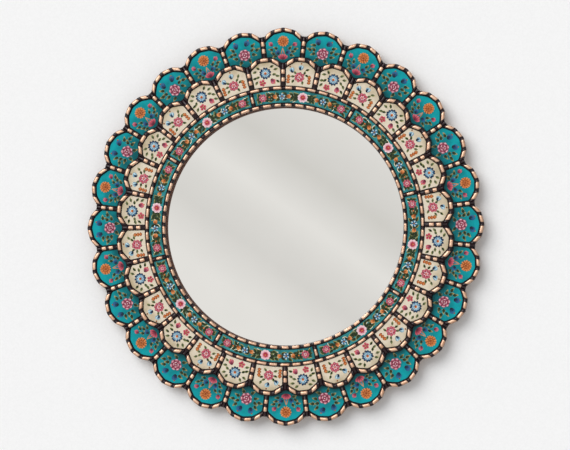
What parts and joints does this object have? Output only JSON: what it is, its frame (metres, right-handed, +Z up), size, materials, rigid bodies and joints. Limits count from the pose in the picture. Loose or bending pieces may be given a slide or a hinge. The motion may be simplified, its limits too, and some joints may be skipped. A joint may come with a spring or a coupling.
{
  "type": "round wall mirror",
  "caption": "Round wall mirror in a scalloped frame of painted glass tiles held between raised leafed beads, with a rear panel and a swinging ring hanger.",
  "frame": {"origin": "centre of the rear panel's back face, on the wall", "axes": "+Z up the wall, +Y into the wall, the mirror faces -Y, +X to the viewer's right"},
  "size_m": [0.6, 0.0236, 0.6],
  "materials": {
    "stained_board": "stained fibreboard",
    "cream_course": "fibreboard ring carrying cream tiles of reverse-painted glass",
    "hardboard": "pressed hardboard",
    "silvered_glass": "silvered float glass",
    "teal_glass": "reverse-painted glass, teal ground with flowers",
    "leafed_bead": "half-round bead, dark lacquer with dashes of copper-coloured leaf",
    "zinc_steel": "zinc plated"
  },
  "bodies": {
    "mirror": {"base_board": "stained_board", "raised_course": "cream_course", "back_panel": "hardboard", "mirror_glass": "silvered_glass", "petal_beads": "leafed_bead", "arch_beads": "leafed_bead", "band_outer_bead": "leafed_bead", "band_inner_bead": "leafed_bead", "band_divider_1": "leafed_bead", "band_divider_2": "leafed_bead", "band_divider_3": "leafed_bead", "band_divider_4": "leafed_bead", "band_divider_5": "leafed_bead", "band_divider_6": "leafed_bead", "band_divider_7": "leafed_bead", "band_divider_8": "leafed_bead", "outer_tile_01": "teal_glass", "outer_tile_02": "teal_glass", "outer_tile_03": "teal_glass", "outer_tile_04": "teal_glass", "outer_tile_05": "teal_glass", "outer_tile_06": "teal_glass", "outer_tile_07": "teal_glass", "outer_tile_08": "teal_glass", "outer_tile_09": "teal_glass", "outer_tile_10": "teal_glass", "outer_tile_11": "teal_glass", "outer_tile_12": "teal_glass", "outer_tile_13": "teal_glass", "outer_tile_14": "teal_glass", "outer_tile_15": "teal_glass", "outer_tile_16": "teal_glass", "outer_tile_17": "teal_glass", "outer_tile_18": "teal_glass", "outer_tile_19": "teal_glass", "outer_tile_20": "teal_glass", "outer_tile_21": "teal_glass", "outer_tile_22": "teal_glass", "outer_tile_23": "teal_glass", "outer_tile_24": "teal_glass", "outer_tile_25": "teal_glass", "outer_tile_26": "teal_glass", "outer_tile_27": "teal_glass", "outer_tile_28": "teal_glass", "band_strip_1": "teal_glass", "band_strip_2": "teal_glass", "band_strip_3": "teal_glass", "band_strip_4": "teal_glass", "band_strip_5": "teal_glass", "band_strip_6": "teal_glass", "band_strip_7": "teal_glass", "band_strip_8": "teal_glass", "panel_screw_1": "zinc_steel", "panel_screw_2": "zinc_steel", "panel_screw_3": "zinc_steel", "panel_screw_4": "zinc_steel", "hanger_strap": "zinc_steel", "hanger_screw_1": "zinc_steel", "hanger_screw_2": "zinc_steel"},
    "hanger_ring": {"hanger_ring": "zinc_steel"}
  },
  "joints": [
    {"name": "ring_swing", "type": "hinge", "parent": "mirror", "child": "hanger_ring", "pos_m": [0, -0.0016, 0.262], "axis": [-1, 0, 0], "range_deg": [0, 170]}
  ]
}
